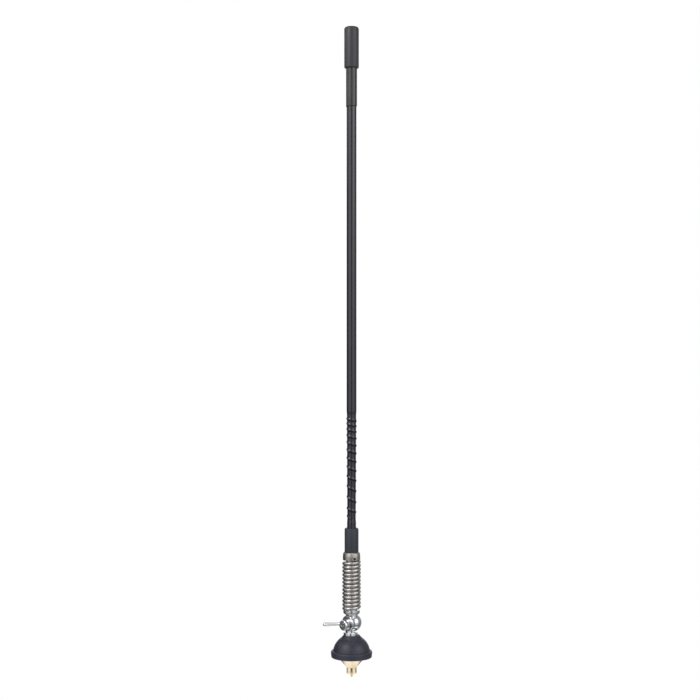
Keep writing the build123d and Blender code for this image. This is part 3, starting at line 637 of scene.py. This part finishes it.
# %% Material helpers
def new_material(name):
    """Material with a Principled shader; returns the material, its tree, the shader and the Object coordinates."""
    material = bpy.data.materials.new(name)
    material.use_nodes = True
    tree = material.node_tree
    tree.nodes.clear()
    shader = tree.nodes.new("ShaderNodeBsdfPrincipled")
    out = tree.nodes.new("ShaderNodeOutputMaterial")
    tree.links.new(shader.outputs["BSDF"], out.inputs["Surface"])
    place = tree.nodes.new("ShaderNodeTexCoord").outputs["Object"]
    return material, tree, shader, place


def use_group(tree, group, **values):
    """Places a shared node group in a material and sets or links its named inputs."""
    return add_node(tree, "ShaderNodeGroup", {"node_tree": group}, **values)


def two_tone(tree, mask, low_colour, high_colour, start=0.35, end=0.7):
    """Colour that runs from low to high as a mask goes from start to end."""
    spread = add_node(tree, "ShaderNodeMapRange", {"interpolation_type": "SMOOTHSTEP"}, Value=mask,
                      From_Min=start, From_Max=end)
    blend = add_node(tree, "ShaderNodeMix", {"data_type": "RGBA"}, i0=spread.outputs["Result"],
                     i6=(*low_colour, 1), i7=(*high_colour, 1))
    return blend.outputs[2]


def spread_to(tree, mask, low, high, start=0.3, end=0.7):
    """Number that runs from low to high as a mask goes from start to end."""
    spread = add_node(tree, "ShaderNodeMapRange", Value=mask, From_Min=start, From_Max=end, To_Min=low, To_Max=high)
    return spread.outputs["Result"]


def set_relief(tree, target, height, depth):
    """Bump from a height, its depth in metres, into the Normal of the target: a shader, or a bump over this one."""
    bump = add_node(tree, "ShaderNodeBump", Height=height, Strength=1.0, Distance=depth)
    tree.links.new(bump.outputs["Normal"], target.inputs["Normal"])
    return bump


def black_finish(name, low, high, smooth, dull, grain_size, depth, patch_size=0.02, rib_pitch=None, rib_depth=0.0,
                 bending=1.5):
    """Black rubber, plastic or tube: two close tones in patches, uneven gloss, fine grain and perhaps faint ribs."""
    material, tree, shader, place = new_material(name)
    shader.inputs["IOR"].default_value = bending
    surface = use_group(tree, grain, Vector=place, Grain_Size=grain_size, Patch_Size=patch_size)
    tree.links.new(two_tone(tree, surface.outputs["Patches"], low, high), shader.inputs["Base Color"])
    tree.links.new(spread_to(tree, surface.outputs["Patches"], smooth, dull), shader.inputs["Roughness"])
    bump = set_relief(tree, shader, surface.outputs["Height"], depth)
    if rib_pitch:
        ribs = use_group(tree, rings, Vector=place, Pitch=rib_pitch, Unevenness=0.6)
        set_relief(tree, bump, ribs.outputs["Height"], rib_depth)
    return material

# %% Black finishes
rubber = black_finish("moulded_rubber", (0.034, 0.035, 0.041), (0.046, 0.047, 0.054), 0.42, 0.55, 0.0005, 0.00006)
moulding = black_finish("moulded_plastic", (0.025, 0.026, 0.047), (0.032, 0.034, 0.055), 0.38, 0.50, 0.0006, 0.00005)
collar_black = black_finish("collar_plastic", (0.037, 0.041, 0.054), (0.046, 0.050, 0.063), 0.42, 0.54, 0.0006,
                            0.00005)
shrink = black_finish("shrunk_tube", (0.007, 0.007, 0.015), (0.011, 0.011, 0.020), 0.14, 0.24, 0.0009, 0.00004,
                      patch_size=0.03, rib_pitch=0.0008, rib_depth=0.00003, bending=1.62)
gloss = black_finish("glossy_tube", (0.028, 0.028, 0.031), (0.040, 0.040, 0.043), 0.18, 0.30, 0.0012, 0.00003)
print("black finishes:", [m.name for m in (rubber, moulding, collar_black, shrink, gloss)])

# %% [markdown]
# Plated and bare metals share one recipe: a tone that wanders a little, gloss that is duller in places, hairline
# marks and the tool's rings, which chrome doesn't show. Chrome is the brightest and smoothest, the nickelled spring
# is warmer and softer, and the brass is pale and yellow. One function for all keeps them alike in kind.

# %% Metal finishes
def metal_finish(name, light, dark, smooth, dull, patch_size=0.006, ring_pitch=0.00025, ring_depth=0.000004,
                 mark_depth=0.000002):
    """Metal: wandering tone and gloss, rings of the lathe and hairline marks as two bumps in a row."""
    material, tree, shader, place = new_material(name)
    shader.inputs["Metallic"].default_value = 1.0
    surface = use_group(tree, tone, Vector=place, Light_Tone=(*light, 1), Dark_Tone=(*dark, 1), Patch_Size=patch_size,
                        Smooth=smooth, Dull=dull)
    tree.links.new(surface.outputs["Color"], shader.inputs["Base Color"])
    tree.links.new(surface.outputs["Roughness"], shader.inputs["Roughness"])
    bump = set_relief(tree, shader, surface.outputs["Marks"], mark_depth)
    lines = use_group(tree, rings, Vector=place, Pitch=ring_pitch, Unevenness=1.0)
    set_relief(tree, bump, lines.outputs["Height"], ring_depth)
    return material


chrome = metal_finish("polished_chrome", (0.80, 0.81, 0.83), (0.70, 0.71, 0.74), 0.05, 0.12, ring_depth=0.0)
nickel = metal_finish("nickelled_wire", (0.57, 0.556, 0.536), (0.47, 0.458, 0.44), 0.30, 0.42, 0.004)
plated = metal_finish("plated_turning", (0.47, 0.46, 0.415), (0.34, 0.33, 0.29), 0.30, 0.44, 0.004,
                      ring_depth=0.00001)
satin = metal_finish("satin_plating", (0.68, 0.685, 0.70), (0.55, 0.555, 0.57), 0.20, 0.32, 0.004)
steel = metal_finish("zinced_steel", (0.56, 0.57, 0.58), (0.42, 0.43, 0.44), 0.25, 0.42)
dark_steel = metal_finish("blackened_steel", (0.12, 0.12, 0.13), (0.06, 0.06, 0.065), 0.3, 0.5)
pin_brass = metal_finish("contact_brass", (0.52, 0.47, 0.38), (0.40, 0.355, 0.28), 0.14, 0.24, 0.004)
brass = metal_finish("turned_brass", (0.86, 0.75, 0.56), (0.70, 0.58, 0.39), 0.07, 0.13, 0.005)
copper = metal_finish("bare_copper", (0.78, 0.42, 0.26), (0.55, 0.27, 0.15), 0.25, 0.45, 0.002)
print("metal finishes ready")

# %% [markdown]
# Two pale finishes are left: the insulating bush in the plug and the glass-fibre rod, whose long strands show as
# faint lines along it.

# %% Pale finishes
def pale_finish(name, low, high, smooth, dull, stretch):
    """Pale plastic or resin: a noise stretched along Z gives strands or clouds of tone."""
    material, tree, shader, place = new_material(name)
    drawn = add_node(tree, "ShaderNodeVectorMath", {"operation": "MULTIPLY"}, i0=place, i1=stretch)
    surface = use_group(tree, grain, Vector=drawn.outputs[0], Grain_Size=0.0006, Patch_Size=0.004)
    tree.links.new(two_tone(tree, surface.outputs["Patches"], low, high), shader.inputs["Base Color"])
    tree.links.new(spread_to(tree, surface.outputs["Patches"], smooth, dull), shader.inputs["Roughness"])
    set_relief(tree, shader, surface.outputs["Height"], 0.00002)
    return material


bush_plastic = pale_finish("bush_plastic", (0.72, 0.69, 0.60), (0.84, 0.82, 0.75), 0.35, 0.5, (1, 1, 1))
glass_rod = pale_finish("glass_rod", (0.62, 0.60, 0.42), (0.80, 0.78, 0.62), 0.25, 0.4, (1, 1, 0.05))

# %% Finishes on the pieces
def paint(piece, material):
    """Gives a piece, new or from the CAD model, one finish in all of its slots."""
    if not piece.data.materials:
        piece.data.materials.append(material)
    for i in range(len(piece.data.materials)):
        piece.data.materials[i] = material


finished_pieces = (
    (cap, rubber), (sleeve, gloss), (covering_piece, shrink), (collar, collar_black), (dome, moulding),
    (spring, nickel), (strap, copper), (plug, satin), (upper, chrome), (lower, chrome), (lever, chrome),
    (plug_piece, brass), (contact, pin_brass), (top_plug, plated), (nodes["grub_screw"], dark_steel),
    (nodes["spring_washer"], steel), (nodes["pivot_bolt"], chrome), (nodes["base_gasket"], rubber),
    (nodes["base_washer"], steel), (nodes["base_nut"], steel), (nodes["contact_insulator"], bush_plastic),
    (nodes["whip_core"], glass_rod), (nodes["radiator_wire"], copper), (nodes["whip_ferrule"], brass))
for piece, material in finished_pieces:
    paint(piece, material)
print("painted", len(finished_pieces), "pieces")

# %% [markdown]
# ## Studio
# The photograph was taken on white with soft light. The world gives plain light to matt surfaces. Mirrors see a
# studio instead: a white backdrop behind the object, two tall bright screens, and darker strips between them, which
# is what draws the dark and light bands on chrome. The camera sees plain white. Real screens as lit planes would have
# to be kept out of the picture, so the world carries them, as a pattern that depends on the direction alone.

# %% World
view_azimuth, pure_white = 44.0, (1, 1, 1, 1)
world = bpy.data.worlds.new("studio")
bpy.context.scene.world = world
world.use_nodes = True
tree = world.node_tree
tree.nodes.clear()
direction = tree.nodes.new("ShaderNodeTexCoord").outputs["Generated"]


def round_the_mast(tree, vector):
    """Share from 0 to 1 of the way round the mast, 0.5 towards the camera and more to its right; and the height."""
    turn_back = add_node(tree, "ShaderNodeVectorRotate", {"rotation_type": "Z_AXIS"}, Vector=vector,
                         Angle=radians(-view_azimuth))
    axes = add_node(tree, "ShaderNodeSeparateXYZ", Vector=turn_back.outputs[0])
    toward = add_node(tree, "ShaderNodeMath", {"operation": "MULTIPLY"}, i0=axes.outputs["Y"], i1=-1.0)
    azimuth = add_node(tree, "ShaderNodeMath", {"operation": "ARCTAN2"}, i0=axes.outputs["X"], i1=toward.outputs[0])
    share = add_node(tree, "ShaderNodeMapRange", Value=azimuth.outputs[0], From_Min=-pi, From_Max=pi)
    return share.outputs["Result"], axes.outputs["Z"]


def level_ramp(tree, value, stops, full=1.0):
    """Brightness along a value from 0 to 1: stops are (place, level), and a level equal to full comes out as white."""
    ramp = tree.nodes.new("ShaderNodeValToRGB")
    tree.links.new(value, ramp.inputs["Fac"])
    for at, level in stops:
        ramp.color_ramp.elements.new(at).color = (level / full, level / full, level / full, 1)
    ramp.color_ramp.elements.remove(ramp.color_ramp.elements[0])
    ramp.color_ramp.elements.remove(ramp.color_ramp.elements[-1])
    return ramp.outputs["Color"]


def round_degrees(stops):
    """Stops given as degrees from the camera, right positive, become places from 0 to 1."""
    return [((at + 180) / 360, level) for at, level in stops]


def by_ray(tree, shown, mirrored, plain):
    """Shader by the ray that meets it: shown to camera and transmission rays, mirrored to glossy ones, or plain."""
    rays = tree.nodes.new("ShaderNodeLightPath")
    lit = add_node(tree, "ShaderNodeMixShader", i0=rays.outputs["Is Glossy Ray"], i1=plain.outputs[0],
                   i2=mirrored.outputs[0])
    seen = add_node(tree, "ShaderNodeMath", {"operation": "MAXIMUM"}, i0=rays.outputs["Is Camera Ray"],
                    i1=rays.outputs["Is Transmission Ray"])
    return add_node(tree, "ShaderNodeMixShader", i0=seen.outputs[0], i1=lit.outputs[0], i2=shown.outputs[0])

# %% Studio that mirrors see
round_share, rise = round_the_mast(tree, direction)
up_share = add_node(tree, "ShaderNodeMapRange", Value=rise, From_Min=-1.0, From_Max=1.0).outputs["Result"]
full_level, plain_level = 1.7, 0.62
screens = level_ramp(tree, round_share, round_degrees([
    (-180, 1.0), (-164, 1.0), (-150, 0.06), (-104, 0.06), (-92, 0.16), (-84, 0.34), (-72, 1.2), (-30, 1.65),
    (-13, 1.2), (-6, 0.18), (6, 0.18), (14, 1.2), (30, 1.65), (72, 1.2), (84, 0.45), (100, 0.32), (146, 0.30),
    (160, 1.0), (179.9, 1.0)]), full_level)
above_and_below = level_ramp(tree, round_share, round_degrees([
    (-180, 0.6), (-160, 0.5), (-140, 0.04), (-60, 0.06), (0, 0.08), (60, 0.16), (120, 0.16), (160, 0.5),
    (179.9, 0.6)]), full_level)
window = level_ramp(tree, up_share, [
    (0.0, 0.0), (0.24, 0.0), (0.36, 0.38), (0.45, 0.42), (0.53, 1.0), (0.80, 1.0), (0.90, 0.05), (1.0, 0.05)])
pattern = add_node(tree, "ShaderNodeMix", {"data_type": "RGBA"}, i0=window, i6=above_and_below, i7=screens)
mirror_light = add_node(tree, "ShaderNodeBackground", Color=pattern.outputs[2], Strength=full_level)
plain_light = add_node(tree, "ShaderNodeBackground", Color=pure_white, Strength=plain_level)
white_light = add_node(tree, "ShaderNodeBackground", Color=pure_white, Strength=1.0)
studio_light = by_ray(tree, white_light, mirror_light, plain_light)
add_node(tree, "ShaderNodeOutputWorld", Surface=studio_light.outputs[0])
print("world ready")

# %% [markdown]
# The floor is a small disc just under the contact's tip. To the camera it glows almost white by itself and adds a
# little of the light that falls on it, so it looks like the white backdrop but still darkens where the object shades
# it. In mirrors it is white right under the plug, which lights the brass cone, and has the screens' pattern further
# out. A plain white floor would do for the camera, but the chrome would lose its dark bands.

# %% Floor
def disc_of(radius, height, circles=24, spokes=96):
    """Flat disc: point = (r cos a, r sin a, height), with r growing evenly from the centre."""
    r = np.linspace(0, radius, circles)[:, None]
    a = (np.arange(spokes) * 2 * pi / spokes)[None, :]
    return np.stack(np.broadcast_arrays(r * np.cos(a), r * np.sin(a), height), -1)


floor_radius, floor_z = 80, tip_z - 0.2
floor_grid = disc_of(floor_radius, floor_z)
floor_faces = grid_faces(*floor_grid.shape[:2], False, True)
floor_mesh = bpy.data.meshes.new("floor")
floor_mesh.from_pydata((floor_grid.reshape(-1, 3) / 1000).tolist(), [], floor_faces.tolist())
floor = bpy.data.objects.new("floor", floor_mesh)
bpy.context.scene.collection.objects.link(floor)
print("floor at", round(floor_z, 1), "mm")

# %% Look of the floor
grey, own_glow, plain_glow, mirror_glow = (0.45, 0.45, 0.45, 1), 0.78, 0.15, 0.90
floor_paint = bpy.data.materials.new("white_floor")
floor_paint.use_nodes = True
tree = floor_paint.node_tree
tree.nodes.clear()
matt = add_node(tree, "ShaderNodeBsdfDiffuse", Color=grey)
place = tree.nodes.new("ShaderNodeTexCoord").outputs["Object"]
away = add_node(tree, "ShaderNodeVectorMath", {"operation": "LENGTH"}, i0=place)
near = add_node(tree, "ShaderNodeMapRange", {"interpolation_type": "SMOOTHSTEP"}, Value=away.outputs["Value"],
                From_Min=0.018, From_Max=0.028, To_Min=mirror_glow, To_Max=0.0)
far = add_node(tree, "ShaderNodeMapRange", {"interpolation_type": "SMOOTHSTEP"}, Value=away.outputs["Value"],
               From_Min=0.05, From_Max=0.08, To_Min=1.0, To_Max=0.1)
pattern = level_ramp(tree, round_the_mast(tree, place)[0], round_degrees([
    (-180, 0.3), (-140, 0.05), (-92, 0.07), (-76, 0.60), (-40, 0.80), (-20, 0.24), (0, 0.10), (20, 0.24), (40, 0.80),
    (76, 0.65), (92, 0.07), (140, 0.05), (179.9, 0.3)]))
faded = add_node(tree, "ShaderNodeMath", {"operation": "MULTIPLY"}, i0=pattern, i1=far.outputs["Result"])
mirror_level = add_node(tree, "ShaderNodeMath", {"operation": "MAXIMUM"}, i0=near.outputs["Result"],
                        i1=faded.outputs[0])
shown, mirrored, plain = (add_node(tree, "ShaderNodeEmission", Color=pure_white, Strength=strength)
                          for strength in (own_glow, mirror_level.outputs[0], plain_glow))
both = add_node(tree, "ShaderNodeAddShader", i0=matt.outputs[0], i1=by_ray(tree, shown, mirrored, plain).outputs[0])
add_node(tree, "ShaderNodeOutputMaterial", Surface=both.outputs[0])
floor.data.materials.append(floor_paint)
print("floor painted")

# %% [markdown]
# Three soft lamps shape the object: a key from the left and front, a weaker fill from the right and an edge light from
# the far left. Area lamps are chosen because their shadows are as soft as the photograph's.

# %% Lamps
def soft_lamp(name, azimuth_deg, elevation_deg, distance, size, power, aim_height=0.3):
    """Square area lamp that looks at the mast at the aim height, from a direction and a distance in metres."""
    data = bpy.data.lights.new(name, "AREA")
    data.shape, data.size, data.energy = "SQUARE", size, power
    lamp = bpy.data.objects.new(name, data)
    a, e = radians(azimuth_deg), radians(elevation_deg)
    back = Vector((sin(a) * cos(e), -cos(a) * cos(e), sin(e)))
    lamp.location = Vector((0, 0, aim_height)) + back * distance
    lamp.rotation_euler = back.to_track_quat("Z", "Y").to_euler()
    bpy.context.scene.collection.objects.link(lamp)
    print(name, "lamp,", power, "W")


soft_lamp("key", view_azimuth - 48, elevation_deg=38, distance=1.8, size=0.7, power=9)
soft_lamp("fill", view_azimuth + 58, elevation_deg=25, distance=2.0, size=0.9, power=5)
soft_lamp("edge", view_azimuth - 105, elevation_deg=30, distance=1.8, size=0.8, power=2.5)

# %% [markdown]
# The camera stands level at 1.5 metres and 0.35 metres up, where the antenna fills the frame as in the photograph. It
# is moved 1.7 mm to the left instead of being turned, so the mast stays upright in the picture.

# %% Camera
camera_distance, camera_height, camera_left = 1.5, 0.3482, 0.0017
azimuth_rad = radians(view_azimuth)
toward_camera = Vector((sin(azimuth_rad), -cos(azimuth_rad), 0))
right = Vector((cos(azimuth_rad), sin(azimuth_rad), 0))
camera_data = bpy.data.cameras.new("camera")
camera_data.sensor_width, camera_data.lens = 36.0, 70.13
camera = bpy.data.objects.new("camera", camera_data)
camera.location = toward_camera * camera_distance - right * camera_left + Vector((0, 0, camera_height))
camera.rotation_euler = (pi / 2, 0, azimuth_rad)
bpy.context.scene.collection.objects.link(camera)
bpy.context.scene.camera = camera
bpy.context.scene.view_settings.view_transform = "Standard"
print("camera at", [round(c, 3) for c in camera.location])
